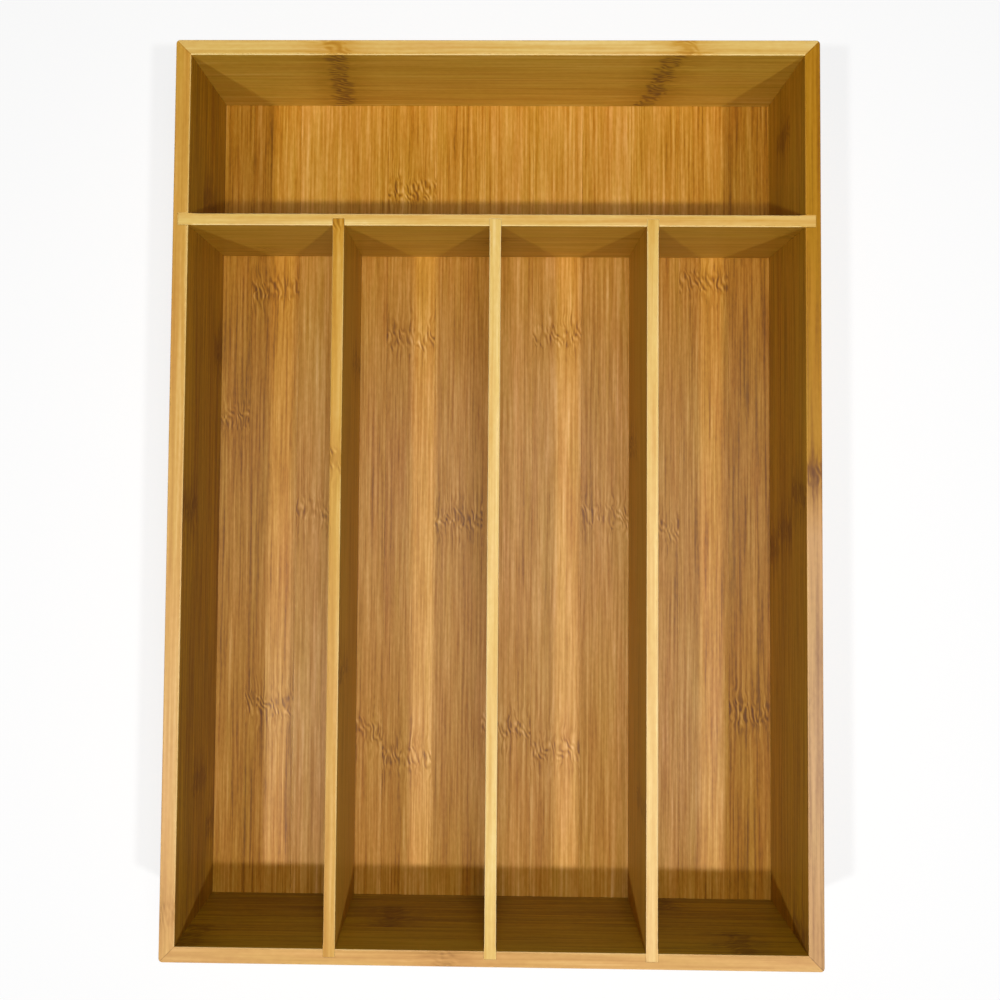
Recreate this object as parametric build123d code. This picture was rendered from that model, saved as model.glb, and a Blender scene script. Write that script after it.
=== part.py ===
from build123d import *
import math
import os

# A bamboo cutlery tray, lengths in millimetres.
# The origin is the middle of the tray's plan, on the surface it stands on.
# +X is the tray's right, +Y its back, where the crosswise compartment is, and +Z is up.

# Outside of the tray
tray_width = 251.0
tray_length = 355.0
tray_height = 50.0
corner_round = 1.5
edge_round = 0.5

# Boards
wall_thickness = 6.0
cross_thickness = 4.6
long_thickness = 4.5
floor_thickness = 4.0

# Plan
back_compartment_clear = 62.6
long_compartment_count = 4

# Floor board, let into a groove in the four walls
floor_lift = 2.0
groove_depth = 3.0
groove_slack = 0.1
floor_edge_gap = 0.3
floor_arris = 0.4

# Housings, the stopped slots that hold the dividers' ends
side_housing_depth = 4.0
front_housing_depth = 3.0
cross_housing_depth = 2.8
glue_gap = 0.05
housing_end_gap = 0.1
square_end = 2.0

# Loose tongues, hidden in the four mitres
tongue_thickness = 1.6
tongue_web = 0.9
tongue_top_stop = 9.0
tongue_foot_stop = 4.0
tongue_arris = 0.3

# How far every cutting body runs past what it cuts
overrun = 2.0

# Sizes that follow from the ones above
inner_width = tray_width - 2 * wall_thickness
inner_length = tray_length - 2 * wall_thickness
floor_top = floor_lift + floor_thickness
divider_height = tray_height - floor_top
cross_back_face = inner_length / 2 - back_compartment_clear
cross_middle = cross_back_face - cross_thickness / 2
cross_front_face = cross_back_face - cross_thickness
long_clear = cross_front_face + inner_length / 2
divider_count = long_compartment_count - 1
compartment_clear = (inner_width - divider_count * long_thickness) / long_compartment_count
long_pitch = compartment_clear + long_thickness
long_places = [(n - (divider_count - 1) / 2) * long_pitch for n in range(divider_count)]
tongue_foot = floor_top + tongue_foot_stop
tongue_head = tray_height - tongue_top_stop
tongue_reach = (wall_thickness - 2 * tongue_web) / math.sqrt(2) - tongue_thickness / 2


# The whole tray's outer block, which rounds the four upright corners and the outer arrises.
def outer_block():
    block = extrude(Rectangle(tray_width, tray_length), amount=tray_height)
    block = fillet(block.edges().filter_by(Axis.Z), corner_round)
    rims = block.faces().sort_by(Axis.Z)
    return fillet(rims[0].edges() + rims[-1].edges(), edge_round)


# A wall's section across its length: outer face at x = wall_thickness, inner face at x = 0.
def wall_section():
    board = Pos(wall_thickness / 2, tray_height / 2) * Rectangle(wall_thickness, tray_height)
    board = fillet(board.vertices().group_by(Axis.X)[0], edge_round)
    groove_height = floor_thickness + groove_slack
    groove = Rectangle(groove_depth + overrun, groove_height)
    groove_middle = floor_lift + groove_height / 2
    return board - Pos((groove_depth - overrun) / 2, groove_middle) * groove


# A mitred wall along X, with its inner face on y = 0 and facing -Y.
def mitred_wall(length):
    run = length + 2 * overrun
    stick = Pos(-run / 2, 0, 0) * extrude(Plane.YZ * wall_section(), amount=run)
    outer_half = length / 2 + overrun
    inner_half = length / 2 - wall_thickness - overrun
    plan = Polygon(
        (-inner_half, -overrun),
        (inner_half, -overrun),
        (outer_half, wall_thickness + overrun),
        (-outer_half, wall_thickness + overrun),
        align=None,
    )
    return stick & extrude(plan, amount=tray_height)


# A loose tongue at the middle of the plan, square to the mitre, which runs along Y.
def tongue(grow, reach):
    height = tongue_head - tongue_foot + 2 * grow
    outline = SlotOverall(height, tongue_thickness + 2 * grow, rotation=90)
    middle = (tongue_head + tongue_foot) / 2
    return Pos(0, 0, middle) * extrude(Plane.YZ * outline, amount=reach, both=True)


# Moves a tongue, or its slot, to the middle of the mitre on the side given by the signs of X and Y.
def at_corner(body, x_sign, y_sign):
    x = x_sign * (inner_width + wall_thickness) / 2
    y = y_sign * (inner_length + wall_thickness) / 2
    turn = math.degrees(math.atan2(y_sign, x_sign)) - 90
    return Pos(x, y, 0) * Rot(0, 0, turn) * body


corners = {
    "back_left_spline": (-1, 1),
    "back_right_spline": (1, 1),
    "front_left_spline": (-1, -1),
    "front_right_spline": (1, -1),
}


# The four slots, in both halves of each mitre, that the loose tongues fill.
def tongue_slots():
    slot = tongue(glue_gap, tongue_reach + housing_end_gap)
    slots = Part()
    for x_sign, y_sign in corners.values():
        slots += at_corner(slot, x_sign, y_sign)
    return slots


# A housing for a divider's end, as a body to cut: it opens at the rim and stops at the floor board.
def housing(across_x, across_y):
    body = Box(across_x, across_y, divider_height + overrun, align=(Align.CENTER, Align.CENTER, Align.MIN))
    return Pos(0, 0, floor_top) * body


# The two housings in the side walls that hold the cross divider, as one long cut.
def cross_divider_housings():
    return Pos(0, cross_middle, 0) * housing(
        inner_width + 2 * side_housing_depth,
        cross_thickness + 2 * glue_gap,
    )


# The housings that hold the long dividers, from inside the front wall to inside the cross divider.
def long_divider_housings():
    front_end = -inner_length / 2 - front_housing_depth
    back_end = cross_front_face + cross_housing_depth
    cut = housing(long_thickness + 2 * glue_gap, back_end - front_end)
    cuts = Part()
    for place in long_places:
        cuts += Pos(place, (front_end + back_end) / 2, 0) * cut
    return cuts


# A finished wall, turned about Z to its side of the tray: slotted for its tongues and rounded outside.
def wall(length, inner_face, turn_degrees, housings=None):
    body = Rot(0, 0, turn_degrees) * Pos(0, inner_face, 0) * mitred_wall(length)
    body -= tongue_slots()
    if housings:
        body -= housings
    return body & outer_block()


# The wall behind the crosswise compartment, which holds no divider.
def back_wall():
    return wall(tray_width, inner_length / 2, 0)


# The wall in front, housed for the long dividers.
def front_wall():
    return wall(tray_width, inner_length / 2, 180, long_divider_housings())


# A side wall, housed for the cross divider.
def side_wall(turn_degrees):
    return wall(tray_length, inner_width / 2, turn_degrees, cross_divider_housings())


# A divider along X whose clear span is centred: its top arrises are rounded between two square ends.
def divider(thickness, clear_span, housed_left, housed_right):
    plain = Pos(0, floor_top + divider_height / 2) * Rectangle(thickness, divider_height)
    eased = fillet(plain.vertices().group_by(Axis.Y)[-1], edge_round)
    eased_span = clear_span - 2 * square_end
    board = Pos(-eased_span / 2, 0, 0) * extrude(Plane.YZ * eased, amount=eased_span)
    left_end = extrude(Plane.YZ * plain, amount=square_end + housed_left)
    right_end = extrude(Plane.YZ * plain, amount=square_end + housed_right)
    board += Pos(-clear_span / 2 - housed_left, 0, 0) * left_end
    board += Pos(eased_span / 2, 0, 0) * right_end
    return board


# The board that parts the crosswise compartment from the long ones, housed for the long dividers.
def cross_divider():
    housed = side_housing_depth - housing_end_gap
    board = Pos(0, cross_middle, 0) * divider(cross_thickness, inner_width, housed, housed)
    return board - long_divider_housings()


# One long divider in its place, from the front wall to the cross divider.
def long_divider(place):
    housed_front = front_housing_depth - housing_end_gap
    housed_back = cross_housing_depth - housing_end_gap
    board = divider(long_thickness, long_clear, housed_front, housed_back)
    middle = (cross_front_face - inner_length / 2) / 2
    return Pos(place, middle, 0) * Rot(0, 0, 90) * board


# The floor board, with its arrises taken off so that it enters the groove.
def floor_board():
    let_in = 2 * (groove_depth - floor_edge_gap)
    board = extrude(Rectangle(inner_width + let_in, inner_length + let_in), amount=floor_thickness)
    board = chamfer(board.edges(), floor_arris)
    return Pos(0, 0, floor_lift) * board


# A loose tongue with its two leading ends eased.
def loose_tongue():
    body = tongue(0, tongue_reach)
    ends = body.faces().sort_by(Axis.X)
    return chamfer(ends[0].edges() + ends[-1].edges(), tongue_arris)


parts = {
    "back_wall": back_wall(),
    "front_wall": front_wall(),
    "left_wall": side_wall(90),
    "right_wall": side_wall(-90),
    "cross_divider": cross_divider(),
}
for number, divider_place in enumerate(long_places, start=1):
    parts[f"long_divider_{number}"] = long_divider(divider_place)
parts["floor_board"] = floor_board()
for spline_name, (corner_x, corner_y) in corners.items():
    parts[spline_name] = at_corner(loose_tongue(), corner_x, corner_y)

os.makedirs("parts", exist_ok=True)
for node, shape in parts.items():
    export_step(shape, f"parts/{node}.step")
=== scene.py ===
"""Dresses the bamboo cutlery tray: laminated boards, their finish, the studio light and the camera."""

import logging
import math
from collections.abc import Callable
from dataclasses import dataclass
from enum import Enum
from functools import partial

import bmesh
import bpy
from bpy.types import ID, Material, Mesh, NodeOutputs, NodeSocket, NodeTree, Object, World
from mathutils import Color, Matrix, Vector


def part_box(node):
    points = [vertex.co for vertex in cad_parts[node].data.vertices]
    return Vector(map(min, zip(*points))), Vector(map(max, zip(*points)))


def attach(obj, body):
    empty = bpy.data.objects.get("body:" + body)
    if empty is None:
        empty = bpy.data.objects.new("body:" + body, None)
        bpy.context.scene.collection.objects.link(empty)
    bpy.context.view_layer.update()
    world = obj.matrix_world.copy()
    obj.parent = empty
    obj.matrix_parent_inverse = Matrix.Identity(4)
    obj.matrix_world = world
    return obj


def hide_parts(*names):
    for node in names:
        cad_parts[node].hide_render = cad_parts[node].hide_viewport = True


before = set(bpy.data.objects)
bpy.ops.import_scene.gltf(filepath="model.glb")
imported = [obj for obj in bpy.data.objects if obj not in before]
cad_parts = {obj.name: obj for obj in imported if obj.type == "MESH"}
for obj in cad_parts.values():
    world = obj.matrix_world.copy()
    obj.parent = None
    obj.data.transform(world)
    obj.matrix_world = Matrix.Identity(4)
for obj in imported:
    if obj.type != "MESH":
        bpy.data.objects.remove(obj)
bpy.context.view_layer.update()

MM = 0.001
ROOT_BODY = "root"
WHITE = "#FFFFFF"
# Wood fibre and clear lacquer bend light alike.
BAMBOO_IOR = 1.5
# A mitre's angle, which is half the turn of a corner, and the turn past which an edge is shaded sharp.
MITRE_DEGREES, SHARP_DEGREES = 45.0, 40.0
# A knuckle or a joint this far off lies on no board, so it stands for none.
FAR_OFF_MM = 9000.0
# How far apart two strips' patterns are taken, so that none repeats its neighbour's, and how many of these
# steps lie between two boards.
PATTERN_STEP_MM = 173.0
BOARD_STEPS = 10
# The floor board's number. The walls have 1 to 4, and the dividers go on from 5.
FLOOR_NUMBER = 10
# The middle of a noise, and what each finer layer keeps of its strength.
NOISE_MEAN, NOISE_KEPT = 0.5, 0.55
# How far a pattern reaches to either side of nought, as a map range takes it.
PATTERN_ENDS = {"From Min": -0.5, "From Max": 0.5}
# The attributes that a board's mesh carries and the bamboo finish reads.
PAINTED = ("grain", "strip", "knuckle", "cast", "joint")

Inputs = dict[int | str, object]
Span = tuple[float, float]
Section = list[Span]
Rings = list[list[Vector]]
Box = tuple[Vector, Vector]

# The kinds of node that the trees use most, and the setting that eases both ends of a step.
MATH = "ShaderNodeMath"
VECTOR_MATH = "ShaderNodeVectorMath"
MAP_RANGE = "ShaderNodeMapRange"
SEPARATE = "ShaderNodeSeparateXYZ"
COMBINE = "ShaderNodeCombineXYZ"
EASED = {"interpolation_type": "SMOOTHSTEP"}

log = logging.getLogger("cutlery_tray")


class Direction(Enum):
    """The way a board's fibres run, with the axes along, across and through it."""

    ACROSS_TRAY = (0, 2, 1)
    ALONG_TRAY = (1, 2, 0)
    FLOOR = (1, 0, 2)


class Side(Enum):
    """A wall's place: the axis its length follows and the sign of its outward normal."""

    BACK = (0, 1)
    FRONT = (0, -1)
    LEFT = (1, -1)
    RIGHT = (1, 1)


def linear(hex_code: str) -> tuple[float, float, float, float]:
    """Turns an sRGB colour into the linear one that a shader socket takes.

    Args:
        hex_code: the colour as six hexadecimal digits after a number sign.

    Returns:
        Red, green, blue and an alpha of 1.
    """
    colour = Color([byte / 255 for byte in bytes.fromhex(hex_code[1:])])
    return (*colour.from_srgb_to_scene_linear(), 1.0)


def add_node(tree: NodeTree, kind: str, inputs: Inputs | None = None, **settings: object) -> NodeOutputs:
    """Adds one node with its settings, its values and its links.

    Args:
        tree: the tree that gets the node.
        kind: the node's type name.
        inputs: what each input socket, by name or number, is set to or linked from.
        settings: the node's own properties.

    Returns:
        The new node's outputs.
    """
    node = tree.nodes.new(kind)
    for name, value in settings.items():
        setattr(node, name, value)
    for key, value in (inputs or {}).items():
        if isinstance(value, NodeSocket):
            tree.links.new(value, node.inputs[key])
        else:
            node.inputs[key].default_value = value
    return node.outputs


def blank_tree(holder: Material | World) -> NodeTree:
    """Empties the node tree of a new material or world.

    Args:
        holder: the material or the world.

    Returns:
        Its tree.
    """
    holder.use_nodes = True
    holder.node_tree.nodes.clear()
    return holder.node_tree


def linked(name: str, data: ID) -> Object:
    """Puts a mesh, a lamp or a camera into the scene.

    Args:
        name: the object's name.
        data: what the object holds.

    Returns:
        The object.
    """
    obj = bpy.data.objects.new(name, data)
    bpy.context.collection.objects.link(obj)
    return obj


def finished(name: str, source: Object) -> Object:
    """Applies an object's modifiers into a plain mesh, on a new object at the origin.

    Args:
        name: the new piece's name.
        source: the object with its modifiers, which is removed.

    Returns:
        The finished piece, linked to the scene.
    """
    evaluated = source.evaluated_get(bpy.context.evaluated_depsgraph_get())
    mesh = bpy.data.meshes.new_from_object(evaluated)
    mesh.name = name
    bpy.data.objects.remove(source)
    return linked(name, mesh)


def mesh_from(name: str, verts: list[Vector], faces: list[tuple[int, ...]]) -> Mesh:
    """Makes a closed mesh with its faces pointing outwards.

    Args:
        name: the mesh's name.
        verts: its corners, in metres.
        faces: the corners of each face.

    Returns:
        The mesh.
    """
    mesh = bpy.data.meshes.new(name)
    mesh.from_pydata([tuple(v) for v in verts], [], faces)
    shape = bmesh.new()
    shape.from_mesh(mesh)
    bmesh.ops.recalc_face_normals(shape, faces=shape.faces[:])
    shape.to_mesh(mesh)
    shape.free()
    return mesh


def swept(name: str, rings: Rings) -> Object:
    """Joins equal rings of corners into a closed body with flat ends.

    Args:
        name: the body's name.
        rings: the section at each station, with its corners in the same order.

    Returns:
        A working object.
    """
    count = len(rings[0])
    last = (len(rings) - 1) * count
    faces = []
    for near in range(0, last, count):
        far = near + count
        for i in range(count):
            j = (i + 1) % count
            faces.append((near + i, near + j, far + j, far + i))
    faces += [tuple(range(count)), tuple(range(last, last + count))]
    return linked(name, mesh_from(name, [corner for ring in rings for corner in ring], faces))


def arris(through: float, up: float, radius: float, quarter: int, steps: int = 4) -> Section:
    """The quarter round of an arris in a board's section.

    Args:
        through: the round's centre, through the board.
        up: its centre, up the board.
        radius: its radius.
        quarter: how many quarter turns its first point is on from the way through the board.
        steps: how many flats it is made of.

    Returns:
        The points, up to a quarter turn on.
    """
    angles = [math.pi / 2 * (quarter + i / steps) for i in range(steps + 1)]
    return [(through + radius * math.cos(a), up + radius * math.sin(a)) for a in angles]


@dataclass(frozen=True)
class Strip:
    """One bamboo strip of a glued-up board."""

    tones: Span  # how light its two edges are, from 0 to 1
    knuckles: tuple[float, ...] = ()  # the places of its growth nodes along the board, in millimetres
    width_share: float = 1.0  # its width as a share of a full strip's
    marking: float = 1.0  # how strong its knuckles' strokes and stain are, as a share of the finish's
    # A painted sheen: how much paler and less saturated its low end and its high end are painted, standing in
    # for the pale veil that the lacquer reflects there. Below 0 counts as 0, and past the finish's full sheen
    # it gets no paler.
    painted_sheen: Span = (0.0, 0.0)

    def knuckle_slots(self) -> tuple[float, float, float]:
        """The three knuckle places that the finish reads, with unused ones far off."""
        return tuple((*self.knuckles, FAR_OFF_MM, FAR_OFF_MM, FAR_OFF_MM)[:3])


@dataclass(frozen=True)
class BoardLook:
    """How one board's wood looks."""

    strips: tuple[Strip, ...]  # from the foot up or from the left; on walls and dividers their tones are painted shade
    rim: Strip | None = None  # the look of its top edge, where that shows
    hue: float = 0.0  # how far the faces in the tray turn to yellow, as a share of the colour circle, as part of their painted shade
    lift: float = 0.0  # how much lighter the outer face is than the painted shade of the faces inside the tray


@dataclass(frozen=True)
class Lamination:
    """How the strips of a board lie, and what its finish reads from the mesh."""

    direction: Direction  # the way the fibres run
    span: Span  # the places of the board's two edges across the fibres, in metres
    look: BoardLook
    board: int  # the board's number, which keeps its pattern apart from the others'
    outward: int = 0  # the sign of the way out of the tray, through the board, or 0 for a board inside it
    rim_slope: float = 0.3  # how far up a face looks before it counts as the top edge
    level_slope: float = 0.97  # how far up it looks before it is level, and no longer part of the arris
    arris_highlight: float = 0.18  # how much lighter an arris inside the tray is painted: a painted highlight where its round catches the light
    seam_slope: float = -0.5  # how far out of the tray a face looks before its mitre shows

    @property
    def edges(self) -> tuple[float, ...]:
        """Divides the board among its strips by their width shares.

        Returns:
            The places of all the strips' edges.
        """
        low, high = self.span
        widths = [strip.width_share for strip in self.look.strips]
        shares = [sum(widths[:n]) / sum(widths) for n in range(len(widths) + 1)]
        return tuple(low + (high - low) * share for share in shares)

    def paint(self, mesh: Mesh, joint_distance: Callable[[Vector], float]) -> None:
        """Writes the attributes that the bamboo finish reads.

        They are the place in the grain, the strip's share and tones, its knuckles, its cast, and the way of
        its fibres with the distance to the nearest mitre. The tones carry the painted highlight of the
        arrises inside the tray and the outer faces' lift. The cast is how strongly the knuckles are marked,
        how much painted sheen pales the strip, and how far its hue turns to yellow, as part of the painted
        shade of the faces inside the tray.

        Args:
            mesh: the finished board's mesh.
            joint_distance: how far a place lies from the nearest mitre, in metres.
        """
        along, across, through = self.direction.value
        painted = {name: [0.0] * (3 * len(mesh.loops)) for name in PAINTED}
        spans = [(min(places), max(places)) for places in zip(*(vertex.co for vertex in mesh.vertices))]
        (first, last), edges = spans[along], self.edges
        for face in mesh.polygons:
            number = sum(face.center[across] >= edge for edge in edges[1:-1])
            strip, axis = self.look.strips[number], across
            low, high = edges[number : number + 2]
            facing = face.normal[through] * self.outward
            # Faces inside the tray keep the hue turn of their painted shade.
            lift, hue, seam = 0.0, self.look.hue, facing > self.seam_slope
            if self.look.rim is not None and face.normal.z > self.rim_slope:
                strip, axis, hue, seam = self.look.rim, through, 0.0, True
                low, high = spans[through]
                # An arris inside the tray gets a painted highlight on its tones.
                lift = self.arris_highlight if face.normal.z < self.level_slope and facing <= 0 else 0.0
            # An outer face gets the lift that the painted shade inside the tray lacks.
            elif facing > 0:
                lift, hue = self.look.lift, 0.0
            shift = (BOARD_STEPS * self.board + number) * PATTERN_STEP_MM
            for corner in face.loop_indices:
                place = mesh.vertices[mesh.loops[corner].vertex_index].co
                share = min(max((place[axis] - low) / (high - low), 0.0), 1.0)
                run = (place[along] - first) / (last - first)
                painted_sheen = strip.painted_sheen[0] * (1 - run) + strip.painted_sheen[1] * run
                mitre = joint_distance(place) / MM if seam else FAR_OFF_MM
                values = {
                    "grain": (place[along] / MM, place[across] / MM + shift, place[through] / MM + shift),
                    "strip": (share, strip.tones[0] + lift, strip.tones[1] + lift),
                    "knuckle": strip.knuckle_slots(),
                    "cast": (strip.marking, painted_sheen, hue),
                    "joint": (mitre, float(along == 0), float(along == 1)),
                }
                for name in PAINTED:
                    painted[name][3 * corner : 3 * corner + 3] = values[name]
        for name, values in painted.items():
            mesh.attributes.new(name, "FLOAT_VECTOR", "CORNER").data.foreach_set("vector", values)


# The look of each wall, its strips from the foot up. The face strips' tones are painted shade, darker than
# the rim's: darkest on the front wall and lightest on the back wall, which faces the lamps.
WALL_LOOKS = {
    Side.BACK: BoardLook(
        (
            Strip((0.60, 0.57), (-66.5, 65.0), marking=2.0),
            Strip((0.56, 0.57), (-64.5, 67.5), marking=2.1),
            Strip((0.57, 0.58), (-63.5, 69.0), marking=1.9),
        ),
        Strip((0.78, 0.82), (-63.0, 75.0), marking=1.6),
        hue=0.014,
        lift=0.07,
    ),
    Side.FRONT: BoardLook(
        (Strip((0.28, 0.30), (72.0,)), Strip((0.28, 0.31), (-40.0,)), Strip((0.34, 0.37), (-115.8, 96.0))),
        Strip((0.58, 0.56), (-20.0,), painted_sheen=(0.12, 0.13)),
        hue=0.026,
        lift=0.33,
    ),
    Side.LEFT: BoardLook(
        (
            Strip((0.26, 0.28), (62.0, -140.0)),
            Strip((0.27, 0.29), (-118.0, 121.0)),
            Strip((0.28, 0.31), (-6.6,)),
        ),
        Strip((0.58, 0.64), (-160.0,), painted_sheen=(0.13, 0.02)),
        hue=0.010,
        lift=0.35,
    ),
    Side.RIGHT: BoardLook(
        (
            Strip((0.33, 0.35), (-21.0,)),
            Strip((0.31, 0.34), (-14.0, 150.0)),
            Strip((0.33, 0.36), (2.0, -168.0)),
        ),
        Strip((0.37, 0.34), (8.9,), marking=1.8, painted_sheen=(1.3, -1.1)),
        hue=0.010,
        lift=0.27,
    ),
}
# The cross divider's face strips are painted shade, darker than its rim.
CROSS_LOOK = BoardLook(
    (Strip((0.50, 0.50), (-96.0,)), Strip((0.49, 0.49), (0.0,)), Strip((0.49, 0.48), (118.0,))),
    Strip((0.80, 0.78)),
    hue=0.014,
)
# The looks of the long dividers, from the left. Their face strips' tones are painted shade, darker than their
# rims'.
LONG_LOOKS = (
    BoardLook(
        (Strip((0.35, 0.37), (55.0,)), Strip((0.37, 0.38), (-70.0,))),
        Strip((0.57, 0.68), (15.0, 107.0), marking=1.6, painted_sheen=(0.05, 0.0)),
        hue=0.010,
    ),
    BoardLook(
        (Strip((0.38, 0.39), (-30.0,)), Strip((0.39, 0.40), (88.0,))),
        Strip((0.83, 0.87), painted_sheen=(0.03, 0.0)),
        hue=0.010,
    ),
    BoardLook(
        (Strip((0.38, 0.39), (20.0,)), Strip((0.38, 0.40), (-120.0,))),
        Strip((0.75, 0.80), painted_sheen=(0.11, 0.0)),
        hue=0.010,
    ),
)
# The floor board's strips, from the left.
FLOOR_LOOK = BoardLook(
    (
        Strip((0.45, 0.44), (31.9,), 0.714),
        Strip((0.40, 0.48), (89.3, -91.6), 0.986),
        Strip((0.56, 0.60), (-8.0,), 0.817),
        Strip((0.52, 0.49), (-101.4,)),
        Strip((0.48, 0.54), (134.0, 67.5, -112.7)),
        Strip((0.51, 0.48), (-10.1,)),
        Strip((0.55, 0.54), (-99.8,)),
        Strip((0.52, 0.59), (70.1, -110.2)),
        Strip((0.49, 0.59), (-8.3,)),
        Strip((0.50, 0.51), (-14.5,)),
        Strip((0.49, 0.46), (93.3,)),
        Strip((0.39, 0.42), (-92.3,), 0.958),
    )
)
# The tones of a palette's colours, from a knuckle's dark strokes to a freshly planed edge.
TONES = (0.00, 0.20, 0.36, 0.50, 0.62, 0.74, 0.86, 1.00)
# The walls' and dividers' bamboo. The floor board's is a redder one, and its pale fibres are more bleached.
PALETTE = ("#6E3E08", "#8A5605", "#AF780E", "#BF8622", "#CC9632", "#D9AA52", "#E4BE6A", "#F2D592")
FLOOR_PALETTE = ("#703E04", "#8C5806", "#AF7411", "#BF8628", "#CC943C", "#D9A352", "#E4B268", "#F2C684")


@dataclass(frozen=True)
class Pattern:
    """A noise drawn out along the fibres, whose mean is zero."""

    along_mm: float  # its size along the fibres
    across_mm: float  # its size across them
    detail: float = 1.0  # how many finer layers it has
    weight: float = 1.0  # how strongly it counts where it is used


@dataclass(frozen=True)
class BambooFinish:
    """Planed, flat-pressed bamboo under a thin satin lacquer.

    The fibres show as fine streaks with darker vessel lines, the growth nodes as bands of short, slanting
    brown and pale strokes, and the lacquer as a soft sheen that spreads across the fibres. The streaks are
    drawn about twice as coarse as the real fibre bundles, so that they show from the camera's distance.
    """

    name: str
    palette: tuple[str, ...] = PALETTE  # its colours from dark to light, at the TONES
    fibre_mm: float = 1.1  # the spacing of the fine streaks
    fibre_length_mm: float = 28.0  # how long a fine streak is
    contrast: float = 1.0  # how strongly the streaks show
    flare: float = 0.30  # how much more the fine streaks show round a knuckle
    vessel_range: Span = (0.10, 0.22)  # where a thin streak starts to be a vessel line, and where it is one
    clouds: Pattern = Pattern(110.0, 15.0, weight=0.14)  # the broad light and dark stretches of one strip
    blush: Pattern = Pattern(60.0, 5.0, detail=2.0)  # the drift from orange to yellow along a strip
    blush_reach: float = 0.010  # how far the blush turns the hue, as a share of the colour circle
    stroke_mm: float = 2.5  # the spacing of a knuckle's strokes
    stroke_lean: float = 0.42  # how far a stroke leans across the fibres for each millimetre along them
    strokes: float = 0.36  # how strongly a knuckle's strokes show
    comb: Pattern = Pattern(9.0, 5.0, weight=3.6)  # how the strokes crowd and part, its weight in strokes
    gaps: Pattern = Pattern(5.0, 2.2)  # where a knuckle's strokes break off
    gap_range: Span = (-0.22, 0.04)  # how low that pattern is in a gap, and where the strokes are whole
    # How a knuckle's line, and each fibre's own end in it, stray along the strip, in millimetres.
    wander: tuple[Pattern, ...] = (Pattern(60.0, 5.0, weight=9.0), Pattern(45.0, 1.4, weight=5.0))
    sway: Pattern = Pattern(9.0, 4.0, weight=3.0)  # how the fibres bend round a knuckle, in millimetres
    band_mm: Span = (5.4, 2.6)  # how far along the strip a knuckle's strokes reach, and where they are full
    halo_mm: Span = (18.0, 2.0)  # how far along it a knuckle bends the fibres, and where it does so fully
    mitre_mm: Span = (0.30, 0.08)  # how far from a mitre its dark line ends, and where it is full
    mitre_dark: float = 0.22  # how dark the mitre's line is
    stain: float = 0.035  # how much darker the wood is round a knuckle
    full_painted_sheen: float = 0.2  # how much colour the painted sheen takes away at most
    painted_sheen_lightening: float = 1.5  # how much lighter the painted sheen makes the wood for each share of colour it takes
    roughness: Span = (0.6, 0.4)  # the wood's own roughness, on the darkest fibres and on the palest
    gloss: float = 0.32  # how strongly the lacquer mirrors, as the shader's specular level
    spread: float = 0.7  # how far the sheen spreads across the fibres
    coat: float = 0.08  # the weight of the clear film over the lacquered fibres
    coat_roughness: float = 0.36
    relief: float = 0.06  # how far the knuckles' strokes sink, as a share of the fine streaks' height
    relief_mm: float = 0.06  # the height of the fine streaks
    relief_strength: float = 0.22  # how much of that height the lacquer leaves

    def layers(self) -> dict[str, Pattern]:
        """The layers of streaks, each with its weight in the tone.

        Returns:
            The fine streaks, the long ones, the wide ones, the pores and the vessel lines, by name.
        """
        fibre, contrast = self.fibre_mm, self.contrast
        return {
            "fine": Pattern(self.fibre_length_mm, fibre, detail=1.2, weight=0.60 * contrast),
            "long": Pattern(90.0, 1.35 * fibre, weight=0.52 * contrast),
            "wide": Pattern(160.0, 3.4, weight=0.20 * contrast),
            "pores": Pattern(3.0, fibre, weight=0.22 * contrast),
            "vessels": Pattern(self.fibre_length_mm, 0.7 * fibre, weight=-0.08 * contrast),
        }

    def material(self) -> Material:
        """Builds the material, which reads the attributes of a painted board.

        Returns:
            The material.
        """
        material = bpy.data.materials.new(self.name)
        BambooTree(self, blank_tree(material)).lacquer()
        return material


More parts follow.
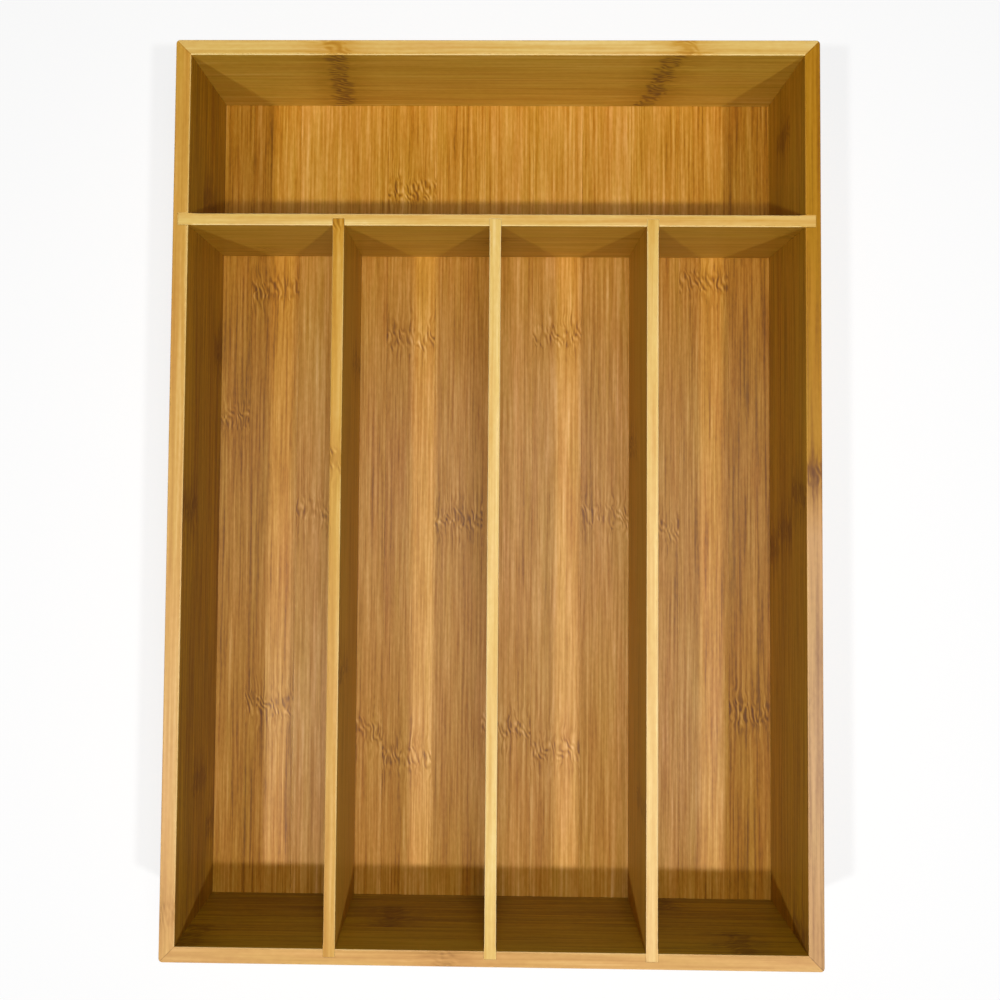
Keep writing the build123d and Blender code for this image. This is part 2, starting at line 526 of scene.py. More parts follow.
class BambooTree:
    """The node tree of a bamboo finish.

    It reads a painted board's place in the grain in millimetres, the strip's share across and its edges'
    tones, its three knuckle places, its cast, and the mitre's distance with the way of the fibres. From them
    it works out what lies near, the place pushed round the knuckles, the fine streaks and the strokes.
    """

    def __init__(self, finish: BambooFinish, tree: NodeTree) -> None:
        """Reads the attributes and works out what the tone and the lacquer both need.

        Args:
            finish: the finish.
            tree: the material's empty tree.
        """
        self.finish, self.layers = finish, finish.layers()
        self.add = partial(add_node, tree)
        read = [self.add("ShaderNodeAttribute", attribute_name=name)["Vector"] for name in PAINTED]
        self.grain = read[0]
        self.places, self.edges, self.marks, self.casts, self.joints = (
            self.add(SEPARATE, {0: vector}) for vector in read
        )
        knuckle = self.nearest_knuckle()
        ranges = {
            "band": (knuckle, finish.band_mm),
            "halo": (knuckle, finish.halo_mm),
            "line": (self.joints["X"], finish.mitre_mm),
            "unbroken": (self.drawn(self.grain, finish.gaps), finish.gap_range),
        }
        self.near = {}
        for name, (value, (nought, full)) in ranges.items():
            given = {"Value": value, "From Min": nought, "From Max": full}
            self.near[name] = self.add(MAP_RANGE, given, **EASED)["Result"]
        self.place = self.swirl()
        self.fine = self.drawn(self.place, self.layers["fine"])
        self.strokes = self.knuckle_strokes()

    def drawn(self, place: NodeSocket, pattern: Pattern) -> NodeSocket:
        """Draws a pattern.

        Args:
            place: the place in millimetres.
            pattern: the pattern.

        Returns:
            The pattern's socket, mostly from -0.25 to 0.25.
        """
        scale = (1 / pattern.along_mm, 1 / pattern.across_mm, 1 / pattern.across_mm)
        scaled = self.add(VECTOR_MATH, {0: place, 1: scale}, operation="MULTIPLY")[0]
        given = {"Vector": scaled, "Scale": 1.0, "Detail": pattern.detail, "Roughness": NOISE_KEPT}
        noise = self.add("ShaderNodeTexNoise", given)["Fac"]
        return self.add(MATH, {0: noise, 1: NOISE_MEAN}, operation="SUBTRACT")[0]

    def nearest_knuckle(self) -> NodeSocket:
        """How far along the fibres the strip's nearest knuckle lies, in millimetres.

        Returns:
            The distance's socket.
        """
        waved = self.places["X"]
        for pattern in self.finish.wander:
            given = {0: self.drawn(self.grain, pattern), 1: pattern.weight, 2: waved}
            waved = self.add(MATH, given, operation="MULTIPLY_ADD")[0]
        nearest = FAR_OFF_MM
        for axis in "XYZ":
            gap = self.add(MATH, {0: waved, 1: self.marks[axis]}, operation="SUBTRACT")[0]
            size = self.add(MATH, {0: gap}, operation="ABSOLUTE")[0]
            nearest = self.add(MATH, {0: nearest, 1: size}, operation="MINIMUM")[0]
        return nearest

    def swirl(self) -> NodeSocket:
        """The place in the grain, pushed to and fro across the fibres round a knuckle.

        Returns:
            The pushed place's socket.
        """
        sway = self.finish.sway
        given = {0: self.drawn(self.grain, sway), 1: self.near["halo"]}
        reach = self.add(MATH, given, operation="MULTIPLY")[0]
        push = self.add(COMBINE, {"Y": reach, "Z": reach})[0]
        given = {0: push, 1: (sway.weight, sway.weight, sway.weight), 2: self.grain}
        return self.add(VECTOR_MATH, given, operation="MULTIPLY_ADD")[0]

    def knuckle_strokes(self) -> NodeSocket:
        """A knuckle's row of short strokes, which lean over and crowd and part like a comb's teeth.

        Returns:
            The strokes' socket, from -0.5 where they are pale to 0.5 where they are dark.
        """
        look, near, places = self.finish, self.near, self.places
        comb, crowding = self.drawn(self.grain, look.comb), look.comb.weight * look.stroke_mm
        across = places["Y"]
        for move, reach in ((places["Z"], 1.0), (places["X"], look.stroke_lean), (comb, crowding)):
            across = self.add(MATH, {0: move, 1: reach, 2: across}, operation="MULTIPLY_ADD")[0]
        turn = self.add(MATH, {0: across, 1: math.tau / look.stroke_mm}, operation="MULTIPLY")[0]
        strokes = self.add(MATH, {0: turn}, operation="SINE")[0]
        half = 0.5
        for share in (near["unbroken"], near["band"], self.casts["X"], half):
            strokes = self.add(MATH, {0: strokes, 1: share}, operation="MULTIPLY")[0]
        return strokes

    def tone(self) -> NodeSocket:
        """How light the wood is: the strip's tone, from one edge's to the other's, under its streaks.

        Returns:
            The tone's socket, a place in the palette.
        """
        look, near, streaks = self.finish, self.near, self.layers
        given = {"Value": self.edges["X"], "To Min": self.edges["Y"], "To Max": self.edges["Z"]}
        tone = self.add(MAP_RANGE, given, **EASED)["Result"]
        nought, full = look.vessel_range
        given = {"Value": self.drawn(self.place, streaks["vessels"]), "From Min": nought, "From Max": full}
        vessels = self.add(MAP_RANGE, given, **EASED)["Result"]
        flared = self.add(MATH, {0: self.fine, 1: near["halo"]}, operation="MULTIPLY")[0]
        both = self.add(MATH, {0: near["halo"], 1: near["band"]}, operation="ADD")[0]
        stained = self.add(MATH, {0: both, 1: self.casts["X"]}, operation="MULTIPLY")[0]
        broad = (streaks["long"], streaks["wide"], streaks["pores"], look.clouds)
        layers = (
            (self.fine, streaks["fine"].weight),
            *((self.drawn(self.place, pattern), pattern.weight) for pattern in broad),
            (vessels, streaks["vessels"].weight),
            (flared, look.flare * look.contrast),
            (stained, -look.stain),
            (self.strokes, -look.strokes),
            (near["line"], -look.mitre_dark),
        )
        for layer, weight in layers:
            tone = self.add(MATH, {0: layer, 1: weight, 2: tone}, operation="MULTIPLY_ADD")[0]
        return tone

    def colour(self) -> NodeSocket:
        """The palette's colour for the tone, with a little blush and the strip's own hue and bleach.

        Returns:
            The colour's socket.
        """
        look, no_turn = self.finish, 0.5
        wood = self.add("ShaderNodeValToRGB", {"Fac": self.tone()})["Color"]
        stops = wood.node.color_ramp.elements
        for tone in TONES[len(stops) :]:
            stops.new(tone)
        for stop, tone, hex_code in zip(stops, TONES, look.palette):
            stop.position = tone
            stop.color = linear(hex_code)
        turns = {"To Min": no_turn - look.blush_reach, "To Max": no_turn + look.blush_reach}
        given = {"Value": self.drawn(self.place, look.blush), **PATTERN_ENDS, **turns}
        blush = self.add(MAP_RANGE, given)["Result"]
        hue = self.add(MATH, {0: blush, 1: self.casts["Z"]}, operation="ADD")[0]
        # The painted sheen: the colour is paled and lightened where the lacquer's reflected veil is painted.
        given = {"Value": self.casts["Y"], "Min": 0.0, "Max": look.full_painted_sheen}
        painted_sheen = self.add("ShaderNodeClamp", given)[0]
        kept, lighter = (
            self.add(MATH, {0: painted_sheen, 1: share, 2: 1.0}, operation="MULTIPLY_ADD")[0]
            for share in (-1.0, look.painted_sheen_lightening)
        )
        given = {"Hue": hue, "Saturation": kept, "Value": lighter, "Color": wood}
        return self.add("ShaderNodeHueSaturation", given)["Color"]

    def lacquer(self) -> None:
        """Lays the satin lacquer over the colour, with the fibres' relief and their sheen."""
        look, quarter_turn = self.finish, 0.25
        dark, pale = look.roughness
        given = {"Value": self.fine, **PATTERN_ENDS, "To Min": dark, "To Max": pale}
        rough = self.add(MAP_RANGE, given)["Result"]
        height = self.add(MATH, {0: self.strokes, 1: -look.relief, 2: self.fine}, operation="MULTIPLY_ADD")[0]
        given = {"Strength": look.relief_strength, "Distance": look.relief_mm * MM, "Height": height}
        bump = self.add("ShaderNodeBump", given)["Normal"]
        way = self.add(COMBINE, {"X": self.joints["Y"], "Y": self.joints["Z"]})[0]
        turned = {"vector_type": "VECTOR", "convert_from": "OBJECT", "convert_to": "WORLD"}
        given = {
            "Base Color": self.colour(),
            "Roughness": rough,
            "IOR": BAMBOO_IOR,
            "Specular IOR Level": look.gloss,
            "Anisotropic": look.spread,
            "Anisotropic Rotation": quarter_turn,
            "Tangent": self.add("ShaderNodeVectorTransform", {"Vector": way}, **turned)[0],
            "Coat Weight": look.coat,
            "Coat Roughness": look.coat_roughness,
            "Normal": bump,
        }
        shader = self.add("ShaderNodeBsdfPrincipled", given)["BSDF"]
        self.add("ShaderNodeOutputMaterial", {"Surface": shader})


@dataclass(frozen=True)
class TongueFinish:
    """Raw sawn bamboo, left bare because it is glued out of sight: pale, dry, rough and straight."""

    name: str = "sawn_bamboo_tongue"
    dark: str = "#B98D4E"  # the colour of its dark fibres
    light: str = "#E3C48C"  # the colour of its light fibres
    fibre_mm: float = 0.5  # the spacing of the fibres
    fibre_length_mm: float = 30.0  # how long a fibre is, up the tongue
    detail: float = 3.0  # how many finer layers the fibres have
    roughness: float = 0.75
    relief_mm: float = 0.05  # the height of the sawn fibres
    relief_strength: float = 0.4  # how much of that height shows

    def material(self) -> Material:
        """Builds the finish on Object coordinates.

        Returns:
            The material.
        """
        material = bpy.data.materials.new(self.name)
        add = partial(add_node, blank_tree(material))
        place = add("ShaderNodeTexCoord")["Object"]
        across, along = 1 / (self.fibre_mm * MM), 1 / (self.fibre_length_mm * MM)
        scaled = add(VECTOR_MATH, {0: place, 1: (across, across, along)}, operation="MULTIPLY")[0]
        fibres = add("ShaderNodeTexNoise", {"Vector": scaled, "Scale": 1.0, "Detail": self.detail})["Fac"]
        colour = add("ShaderNodeValToRGB", {"Fac": fibres})["Color"]
        for stop, hex_code in zip(colour.node.color_ramp.elements, (self.dark, self.light)):
            stop.color = linear(hex_code)
        given = {"Strength": self.relief_strength, "Distance": self.relief_mm * MM, "Height": fibres}
        bump = add("ShaderNodeBump", given)["Normal"]
        given = {"Base Color": colour, "Roughness": self.roughness, "IOR": BAMBOO_IOR, "Normal": bump}
        shader = add("ShaderNodeBsdfPrincipled", given)["BSDF"]
        add("ShaderNodeOutputMaterial", {"Surface": shader})
        return material


@dataclass(frozen=True)
class TraySizes:
    """The tray's main sizes, in metres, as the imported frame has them."""

    half_width: float  # half the tray's outside size along X
    half_length: float  # half its outside size along Y
    height: float
    wall: float  # the thickness of its four walls
    floor: Box  # the lowest and highest corners of the floor board
    cross: Box  # those of the cross divider
    longs: tuple[Box, ...]  # those of the long dividers, from the left

    @classmethod
    def from_frame(cls) -> "TraySizes":
        """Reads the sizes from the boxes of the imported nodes.

        Returns:
            The sizes.
        """
        back_low, back_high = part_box("back_wall")
        numbers = range(1, 1 + sum(name.startswith("long_divider_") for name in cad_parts))
        return cls(
            half_width=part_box("right_wall")[1].x,
            half_length=back_high.y,
            height=back_high.z,
            wall=back_high.y - back_low.y,
            floor=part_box("floor_board"),
            cross=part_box("cross_divider"),
            longs=tuple(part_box(f"long_divider_{n}") for n in numbers),
        )


@dataclass(frozen=True)
class Housing:
    """A stopped slot for a divider's end, with an eased edge at the rim, in metres."""

    x: Span  # where it starts and ends along X
    y: Span  # where it starts and ends along Y
    foot: float  # the height where it stops
    rim: float  # the height of the rim
    ease: float = 0.12 * MM  # how far its mouth is eased
    overrun: float = 2 * MM  # how far the cut runs past the rim

    def cutter(self) -> Object:
        """The body to cut, a little wider at the rim.

        Returns:
            A working object.
        """
        (x0, x1), (y0, y1) = self.x, self.y
        ease, rim, rings = self.ease, self.rim, []
        for z, grow in ((self.foot, 0.0), (rim - ease, 0.0), (rim, ease), (rim + self.overrun, ease)):
            left, right, front, back = x0 - grow, x1 + grow, y0 - grow, y1 + grow
            plan = ((left, front), (right, front), (right, back), (left, back))
            rings.append([Vector((x, y, z)) for x, y in plan])
        return swept("housing_cutter", rings)


@dataclass
class Board:
    """A board of the tray: what all of them share, from the raw mesh to the dressed piece."""

    name: str
    node: str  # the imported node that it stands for
    slot: str  # the name of a material slot, which is not used
    finish: Material
    lamination: Lamination
    housings: tuple[Housing, ...] = ()  # the slots cut into it

    def rings(self) -> Rings:
        """The board's section at each station along it, where it is swept."""
        raise NotImplementedError

    def joint_distance(self, place: Vector) -> float:
        """How far a place lies from the nearest mitre: far off, because only the walls have mitres."""
        return FAR_OFF_MM * MM

    def raw(self) -> Object:
        """Sweeps the board and cuts its housings.

        Returns:
            A working object whose modifiers are still live.
        """
        board = swept(self.name + "_raw", self.rings())
        for housing in self.housings:
            cut = board.modifiers.new("Housing", "BOOLEAN")
            cut.operation = "DIFFERENCE"
            cut.solver = "EXACT"
            cut.object = housing.cutter()
        return board

    def build(self) -> None:
        """Makes the piece, shades its arrises round and its faces flat, dresses it and hands it over."""
        board = self.raw()
        cutters = [modifier.object for modifier in board.modifiers if modifier.type == "BOOLEAN"]
        piece = finished(self.name + "_unsoftened", board)
        for cutter in cutters:
            bpy.data.objects.remove(cutter)
        piece.data.polygons.foreach_set("use_smooth", [True] * len(piece.data.polygons))
        piece.data.set_sharp_from_angle(angle=math.radians(SHARP_DEGREES))
        piece.modifiers.new("Flat faces stay flat", "WEIGHTED_NORMAL").keep_sharp = True
        piece = finished(self.name, piece)
        self.lamination.paint(piece.data, self.joint_distance)
        piece.data.materials.clear()
        piece.data.materials.append(self.finish)
        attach(piece, ROOT_BODY)
        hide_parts(self.node)
        log.info("%s stands for %s with %d faces", piece.name, self.node, len(piece.data.polygons))


@dataclass(kw_only=True)
class Wall(Board):
    """A mitred wall board with a groove for the floor board, round arrises and round outer corners."""

    side: Side
    sizes: TraySizes
    corner_radius: float = 1.5 * MM  # the radius of the tray's outer corners
    arris_radius: float = 0.5 * MM
    groove_depth: float = 3.0 * MM
    groove_slack: float = 0.1 * MM  # the room above the floor board in its groove
    mitre_gap: float = 0.02 * MM  # how far each end stays off the mitre, so that it shows as a hair line
    corner_steps: int = 6  # how many flats half an outer corner is made of

    def joint_distance(self, place: Vector) -> float:
        """How far a place lies from the mitre's plane, along the wall."""
        return abs((self.sizes.half_width - abs(place.x)) - (self.sizes.half_length - abs(place.y)))

    def section(self) -> Section:
        """The wall's section as places through the board, from its inner face, and up it.

        Returns:
            The corners in order round the section.
        """
        thick, high, r, depth = self.sizes.wall, self.sizes.height, self.arris_radius, self.groove_depth
        groove_low, groove_high = self.sizes.floor[0].z, self.sizes.floor[1].z + self.groove_slack
        joints = [z for z in self.lamination.edges[1:-1] if groove_high < z < high - r]
        return [
            *arris(thick - r, r, r, -1),
            *((thick, z) for z in joints),
            *arris(thick - r, high - r, r, 0),
            *arris(r, high - r, r, 1),
            *((0.0, z) for z in reversed(joints)),
            *((0.0, groove_high), (depth, groove_high), (depth, groove_low), (0.0, groove_low)),
            *arris(r, r, r, 2),
        ]

    def rings(self) -> Rings:
        """The section at each station, from one mitre to the other, bent round the outer corners.

        Returns:
            The rings of corners.
        """
        section = self.section()
        outwards = [None, *range(self.corner_steps + 1)]
        ends = [(-1, station) for station in reversed(outwards)] + [(1, station) for station in outwards]
        return [[self.place(sign, station, t, z) for t, z in section] for sign, station in ends]

    def place(self, sign: int, station: int | None, t: float, z: float) -> Vector:
        """Where a corner of the section lies at a station.

        Args:
            sign: which end of the wall.
            station: the step round the outer corner, or None for the last straight one.
            t: the place through the board, from its inner face.
            z: the height.

        Returns:
            The point in the tray's frame.
        """
        axis, outward = self.side.value
        sizes, radius = self.sizes, self.corner_radius
        half, half_across = sizes.half_width, sizes.half_length
        if axis == 1:
            half, half_across = half_across, half
        half -= self.mitre_gap
        inset = sizes.wall - t
        start = half - sizes.wall - radius
        u = start
        if station is not None and inset < radius:
            turn = math.radians(MITRE_DEGREES * station / self.corner_steps)
            u = half - radius + (radius - inset) * math.sin(turn)
            t = sizes.wall - radius + (radius - inset) * math.cos(turn)
        elif station is not None:
            u = start + (half - inset - start) * (station + 1) / (self.corner_steps + 1)
        point = Vector((sign * u, outward * (half_across - sizes.wall + t), z))
        return point if axis == 0 else Vector((point.y, point.x, z))


@dataclass(kw_only=True)
class Divider(Board):
    """A divider whose top arrises are round along its clear span and square where its ends are let in."""

    box: Box  # its lowest and highest corners
    axis: int  # the axis that its length follows
    let_in: Span  # how far its first and last ends are let in
    arris_radius: float = 0.5 * MM
    square_radius: float = 0.05 * MM  # the radius of the arrises of its square ends
    square_end: float = 1.2 * MM  # how far a square end runs out of its housing
    run_out: float = 1.0 * MM  # how long the arris takes to run out

    def rings(self) -> Rings:
        """The section at each change of its arrises, from one end to the other.

        Returns:
            The rings of corners.
        """
        first, last = (corner[self.axis] for corner in self.box)
        square_end, run_out = self.square_end, self.run_out
        near, far = ([0.0, end + square_end, end + square_end + run_out] for end in self.let_in)
        stations = [first + stop for stop in near] + [last - stop for stop in reversed(far)]
        square, eased = self.square_radius, self.arris_radius
        radii = (square, square, eased, eased, square, square)
        return [self.ring(station, radius) for station, radius in zip(stations, radii)]

    def ring(self, along: float, radius: float) -> list[Vector]:
        """The section at one place along the divider.

        Args:
            along: the place.
            radius: its arrises' radius there.

        Returns:
            The section's corners.
        """
        low, high = self.box
        a, b, top = low[1 - self.axis], high[1 - self.axis], high.z - radius
        joints = [z for z in self.lamination.edges[1:-1] if low.z < z < high.z - self.arris_radius]
        section = [
            (a, low.z),
            (b, low.z),
            *((b, z) for z in joints),
            *arris(b - radius, top, radius, 0),
            *arris(a + radius, top, radius, 1),
            *((a, z) for z in reversed(joints)),
        ]
        return [Vector((along, s, z)) if self.axis == 0 else Vector((s, along, z)) for s, z in section]


@dataclass(kw_only=True)
class FloorBoard(Board):
    """The floor board: strips side by side, each with its arrises just broken, repeated by a node tree."""

    box: Box  # its lowest and highest corners
    arris_radius: float = 0.06 * MM  # the radius of a strip's arrises
    arris_flats: int = 2

    def raw(self) -> Object:
        """Lays one strip on each point of a row.

        Returns:
            A working object whose node tree is still live.
        """
        low, high = self.box
        middle, size = (low + high) / 2, high - low
        spans = list(zip(self.lamination.edges, self.lamination.edges[1:]))
        full_width = max(b - a for a, b in spans)
        points = [Vector(((a + b) / 2, middle.y, middle.z)) for a, b in spans]
        mesh = mesh_from(self.name + "_raw", points, [])
        shares = mesh.attributes.new("width_share", "FLOAT", "POINT")
        shares.data.foreach_set("value", [(b - a) / full_width for a, b in spans])
        board = linked(self.name + "_raw", mesh)
        laid = board.modifiers.new("Strips", "NODES")
        laid.node_group, sockets = self.strip_tree()
        given = {
            "Strip Width": full_width,
            "Strip Length": size.y,
            "Strip Thickness": size.z,
            "Arris": self.arris_radius,
            "Finish": self.finish,
        }
        for name, value in given.items():
            laid[sockets[name]] = value
        return board

    def strip_tree(self) -> tuple[NodeTree, dict[str, str]]:
        """Builds the node tree that repeats the strip.

        Returns:
            The tree, and the identifier of each of its named inputs.
        """
        tree = bpy.data.node_groups.new("Floor strips", "GeometryNodeTree")
        add = partial(add_node, tree)
        sizes = ("Strip Width", "Strip Length", "Strip Thickness", "Arris")
        wanted = {"Geometry": "Geometry", **{name: "Float" for name in sizes}, "Finish": "Material"}
        sockets = {}
        for name, kind in wanted.items():
            socket = tree.interface.new_socket(name, in_out="INPUT", socket_type="NodeSocket" + kind)
            sockets[name] = socket.identifier
        tree.interface.new_socket("Geometry", in_out="OUTPUT", socket_type="NodeSocketGeometry")
        given = add("NodeGroupInput")
        size = {"Width": given["Strip Width"], "Height": given["Strip Thickness"]}
        end = add("GeometryNodeCurvePrimitiveQuadrilateral", size)[0]
        ease = {"Curve": end, "Radius": given["Arris"], "Count": self.arris_flats}
        eased = add("GeometryNodeFilletCurve", ease, mode="POLY")[0]
        ends = {}
        for name, share in (("Start", -0.5), ("End", 0.5)):
            half = add(MATH, {0: given["Strip Length"], 1: share}, operation="MULTIPLY")[0]
            ends[name] = add(COMBINE, {"Y": half})[0]
        line = add("GeometryNodeCurvePrimitiveLine", ends)[0]
        strip = add("GeometryNodeCurveToMesh", {"Curve": line, "Profile Curve": eased, "Fill Caps": True})[0]
        share = add("GeometryNodeInputNamedAttribute", {"Name": "width_share"}, data_type="FLOAT")[0]
        scale = add(COMBINE, {"X": share, "Y": 1.0, "Z": 1.0})[0]
        row = {"Points": given["Geometry"], "Instance": strip, "Scale": scale}
        laid = add("GeometryNodeInstanceOnPoints", row)[0]
        solid = add("GeometryNodeRealizeInstances", {0: laid})[0]
        dressed = add("GeometryNodeSetMaterial", {0: solid, "Material": given["Finish"]})[0]
        add("NodeGroupOutput", {0: dressed})
        return tree, sockets


@dataclass(frozen=True)
class SoftLamp:
    """A square soft box that faces the tray."""

    name: str
    place: tuple[float, float, float]  # where it hangs, in metres
    size: float  # its side, in metres
    share: float  # how much of a plain level of light it gives a level surface at the tray

    def hang(self, aim: Vector) -> None:
        """Makes the lamp and turns it to the tray.

        Args:
            aim: the point that it faces.
        """
        data = bpy.data.lights.new(self.name, "AREA")
        data.shape = "SQUARE"
        data.size = self.size
        way = aim - Vector(self.place)
        fall = -way.normalized().z
        data.energy = self.share * math.pi**2 * way.length_squared / fall
        lamp = linked(self.name, data)
        lamp.location = self.place
        lamp.rotation_euler = way.to_track_quat("-Z", "Y").to_euler()


@dataclass(frozen=True)
class Studio:
    """The plain pale floor, the soft lamps and the even light from all round."""

    lamps: tuple[SoftLamp, ...] = (
        SoftLamp("left_soft_box", (-0.93, -0.64, 1.69), 0.1, 0.28),
        SoftLamp("right_soft_box", (0.875, -0.64, 1.69), 0.1, 0.28),
        SoftLamp("overhead_soft_box", (0.04, 0.0, 0.62), 0.28, 0.40),
    )
    even_light: float = 0.08  # the strength of the light from all round
    ceiling: float = 0.06  # how bright a reflection finds the room overhead, where its walls are white
    ceiling_rise: Span = (0.2, 0.6)  # how far up a reflection looks where the walls start to dim and end
    floor_size: float = 12.0  # the side of the floor, in metres
    floor_drop: float = 0.05 * MM  # how far the floor lies under the tray, so that they share no plane
    floor_colour: str = "#EDEDED"
    floor_glow: float = 0.68  # how much of the floor near the tray looks white, whatever its shade
    fade: Span = (0.45, 1.3)  # how far from the middle the shade starts to fade and ends, in metres

    def build(self) -> None:
        """Sets the world, the floor and the lamps."""
        for lamp in self.lamps:
            lamp.hang(Vector())
        self.light_world()
        self.lay_floor()
        bpy.context.scene.view_settings.view_transform = "Standard"
        log.info("the studio has %d soft boxes", len(self.lamps))

    def seen(self, tree: NodeTree) -> NodeSocket:
        """Tells the rays that only look from those that carry light.

        Args:
            tree: the tree of the world or of the floor's material.

        Returns:
            One for rays from the camera, a mirror or a glass, and nought for the others.
        """
        path = add_node(tree, "ShaderNodeLightPath")
        seen = path["Is Camera Ray"]
        for kind in ("Is Glossy Ray", "Is Transmission Ray"):
            seen = add_node(tree, MATH, {0: seen, 1: path[kind]}, operation="MAXIMUM")[0]
        return seen

    def light_world(self) -> None:
        """A white backdrop for the eye, white walls under a dim ceiling for gloss, and weak even light."""
        world = bpy.data.worlds.new("studio_world")
        bpy.context.scene.world = world
        tree = blank_tree(world)
        add = partial(add_node, tree)
        way = add("ShaderNodeTexCoord")["Generated"]
        rise = add(SEPARATE, {0: way})["Z"]
        foot, top = self.ceiling_rise
        given = {"Value": rise, "From Min": foot, "From Max": top, "To Min": 1.0, "To Max": self.ceiling}
        walls = add(MAP_RANGE, given)["Result"]
        eye = add("ShaderNodeLightPath")["Is Camera Ray"]
        strength = add(MATH, {0: walls, 1: eye}, operation="MAXIMUM")[0]
        even, white = (
            add("ShaderNodeBackground", {"Color": linear(WHITE), "Strength": level})[0]
            for level in (self.even_light, strength)
        )
        mixed = add("ShaderNodeMixShader", {0: self.seen(tree), 1: even, 2: white})[0]
        add("ShaderNodeOutputWorld", {"Surface": mixed})

    def lay_floor(self) -> None:
        """A level floor of matt white card just under the tray: even, without gloss, with soft shadows."""
        half = self.floor_size / 2
        plan = ((-half, -half), (half, -half), (half, half), (-half, half))
        corners = [Vector((x, y, -self.floor_drop)) for x, y in plan]
        floor = linked("studio_floor", mesh_from("studio_floor", corners, [(0, 1, 2, 3)]))
        material = bpy.data.materials.new("matt_white_card")
        tree = blank_tree(material)
        add = partial(add_node, tree)
        card, shaded = (
            add("ShaderNodeBsdfDiffuse", {"Color": linear(colour)})[0]
            for colour in (self.floor_colour, WHITE)
        )
        glow = add("ShaderNodeEmission", {"Color": linear(WHITE), "Strength": 1.0})[0]
        place = add("ShaderNodeTexCoord")["Object"]
        reach = add(VECTOR_MATH, {0: place}, operation="LENGTH")["Value"]
        near, far = self.fade
        given = {"Value": reach, "From Min": near, "From Max": far, "To Min": self.floor_glow}
        share = add(MAP_RANGE, given, **EASED)["Result"]
        bright = add("ShaderNodeMixShader", {0: share, 1: shaded, 2: glow})[0]
        mixed = add("ShaderNodeMixShader", {0: self.seen(tree), 1: card, 2: bright})[0]
        add("ShaderNodeOutputMaterial", {"Surface": mixed})
        floor.data.materials.append(material)


@dataclass(frozen=True)
class PhotoCamera:
    """The camera that looks straight down into the tray, as fitted to the photograph."""

    place: tuple[float, float, float] = (0.0004462, 0.0021578, 0.3746948)  # where it is, in metres
    turn_degrees: tuple[float, float, float] = (1.846, 0.722, 0.448)  # how far it leans, about X, Y and Z
    lens: float = 30.504  # its focal length, in millimetres
    sensor: float = 36.0  # the width of its picture, in millimetres
    shift: Span = (0.0161, -0.0373)  # how far the picture is shifted, as shares of its width
    clip: Span = (0.01, 100.0)  # how near and how far it sees, in metres

    def build(self) -> None:
        """Makes the camera and hands it to the scene."""
        data = bpy.data.cameras.new("photo_camera")
        data.lens = self.lens
        data.sensor_width = self.sensor
        data.shift_x, data.shift_y = self.shift
        data.clip_start, data.clip_end = self.clip
        camera = linked("photo_camera", data)
        camera.location = self.place
        camera.rotation_euler = [math.radians(angle) for angle in self.turn_degrees]
        bpy.context.scene.camera = camera


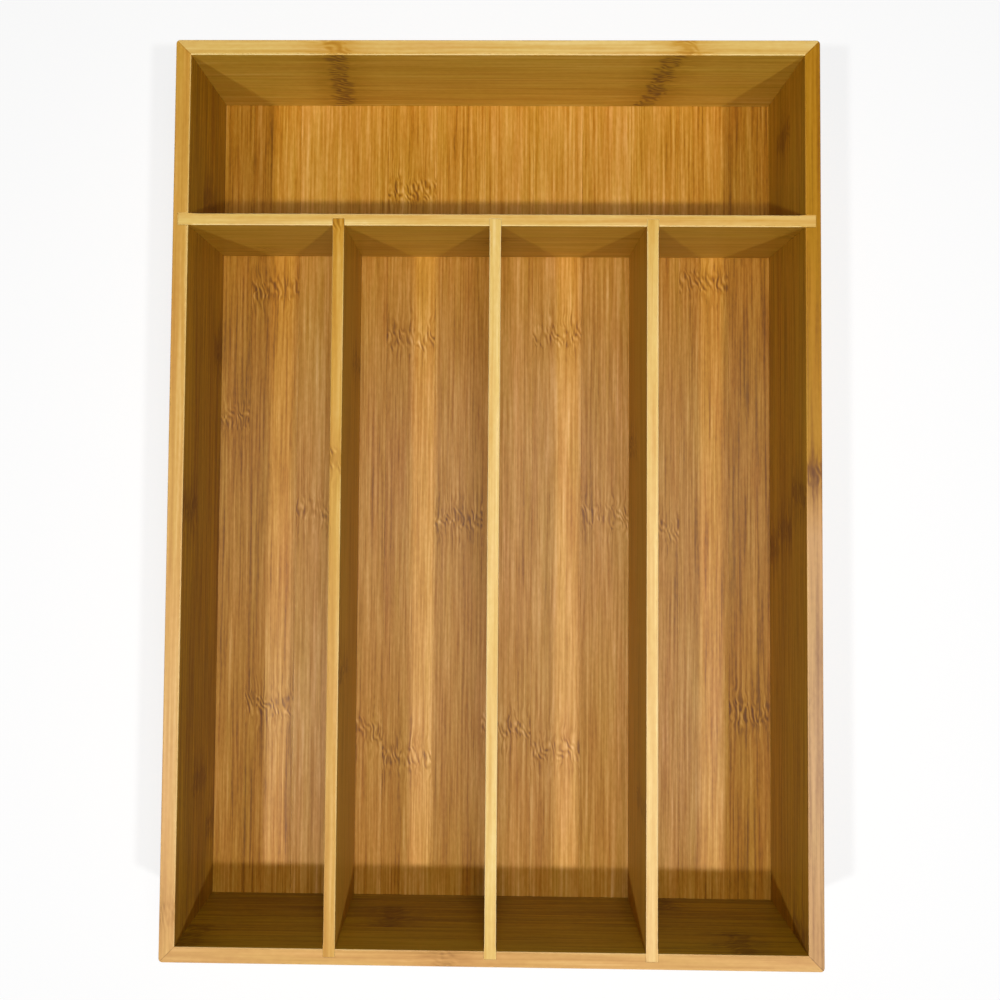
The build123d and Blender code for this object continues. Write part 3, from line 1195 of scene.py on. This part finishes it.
@dataclass(frozen=True)
class CutleryTray:
    """The whole tray: four mitred walls, the cross divider, three long dividers and the floor board."""

    sizes: TraySizes
    glue_gap: float = 0.05 * MM  # the room on each side of a divider's end in its housing
    side_housing: float = 4.0 * MM  # how deep the cross divider's ends go into the side walls
    front_housing: float = 3.0 * MM  # how deep the long dividers go into the front wall
    cross_housing: float = 2.8 * MM  # how deep they go into the cross divider
    end_gap: float = 0.1 * MM  # the room past a divider's end
    overrun: float = 2.0 * MM  # how far a cut runs past the face that it opens
    wall_finish: BambooFinish = BambooFinish(
        "lacquered_bamboo_walls", fibre_length_mm=44.0, contrast=0.5, strokes=0.12, stain=0.07
    )
    divider_finish: BambooFinish = BambooFinish(
        "lacquered_bamboo_dividers", fibre_length_mm=40.0, contrast=0.46, strokes=0.22, stain=0.05
    )
    floor_finish: BambooFinish = BambooFinish(
        "lacquered_bamboo_floor", FLOOR_PALETTE, fibre_mm=0.96, gloss=0.45
    )
    tongue_finish: TongueFinish = TongueFinish()

    def build(self) -> None:
        """Makes every piece."""
        self.build_walls()
        self.build_dividers()
        self.build_floor()
        self.dress_tongues()

    def housings(self, axis: int, boxes: tuple[Box, ...], start: float, end: float) -> tuple[Housing, ...]:
        """The housings that let dividers into one board.

        Args:
            axis: the axis that the dividers' length follows.
            boxes: the dividers' lowest and highest corners.
            start: where the housings start along that axis.
            end: where they end.

        Returns:
            One housing for each divider.
        """
        across, gap, foot, rim = 1 - axis, self.glue_gap, self.sizes.floor[1].z, self.sizes.height
        cut = []
        for low, high in boxes:
            plan = ((start, end), (low[across] - gap, high[across] + gap))
            x, y = plan if axis == 0 else plan[::-1]
            cut.append(Housing(x, y, foot, rim))
        return tuple(cut)

    def build_walls(self) -> None:
        """The four walls, each with its own strips and marks."""
        s = self.sizes
        half_x, half_y, overrun = s.half_width - s.wall, s.half_length - s.wall, self.overrun
        housings = {
            Side.FRONT: self.housings(1, s.longs, -half_y - self.front_housing, -half_y + overrun),
            Side.LEFT: self.housings(0, (s.cross,), -half_x - self.side_housing, -half_x + overrun),
            Side.RIGHT: self.housings(0, (s.cross,), half_x - overrun, half_x + self.side_housing),
        }
        finish = self.wall_finish.material()
        for number, side in enumerate(Side, start=1):
            axis, outward = side.value
            direction = Direction.ACROSS_TRAY if axis == 0 else Direction.ALONG_TRAY
            strips = Lamination(direction, (0.0, s.height), WALL_LOOKS[side], number, outward)
            node = side.name.lower() + "_wall"
            shared = (node + "_boards", node, "wall_bamboo", finish, strips, housings.get(side, ()))
            Wall(*shared, side=side, sizes=s).build()

    def build_dividers(self) -> None:
        """The cross divider, then the long ones."""
        s = self.sizes
        finish = self.divider_finish.material()
        depths = (self.side_housing, self.front_housing, self.cross_housing)
        in_side, in_front, in_cross = (depth - self.end_gap for depth in depths)
        face = s.cross[0].y
        slots = self.housings(1, s.longs, face - self.overrun, face + self.cross_housing)
        plans = [("cross_divider", s.cross, CROSS_LOOK, Direction.ACROSS_TRAY, (in_side, in_side), slots)]
        for number, (box, look) in enumerate(zip(s.longs, LONG_LOOKS), start=1):
            name = f"long_divider_{number}"
            plans.append((name, box, look, Direction.ALONG_TRAY, (in_front, in_cross), ()))
        for number, (node, box, look, direction, let_in, housings) in enumerate(plans, start=1 + len(Side)):
            strips = Lamination(direction, (box[0].z, box[1].z), look, number)
            shared = (node + "_board", node, "divider_bamboo", finish, strips, housings)
            Divider(*shared, box=box, axis=direction.value[0], let_in=let_in).build()

    def build_floor(self) -> None:
        """The floor board, its strips running from front to back."""
        low, high = self.sizes.floor
        strips = Lamination(Direction.FLOOR, (low.x, high.x), FLOOR_LOOK, FLOOR_NUMBER)
        shared = ("floor_strips", "floor_board", "floor_bamboo", self.floor_finish.material(), strips)
        FloorBoard(*shared, box=self.sizes.floor).build()

    def dress_tongues(self) -> None:
        """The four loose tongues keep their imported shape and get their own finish."""
        material = self.tongue_finish.material()
        for name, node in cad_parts.items():
            if name.endswith("_spline"):
                node.data.materials.clear()
                node.data.materials.append(material)
                log.info("%s keeps its packed shape", name)


def main() -> None:
    """Builds the tray, the studio and the camera."""
    logging.basicConfig(level=logging.INFO, format="%(name)s: %(message)s")
    CutleryTray(TraySizes.from_frame()).build()
    Studio().build()
    PhotoCamera().build()


if __name__ == "__main__":
    main()
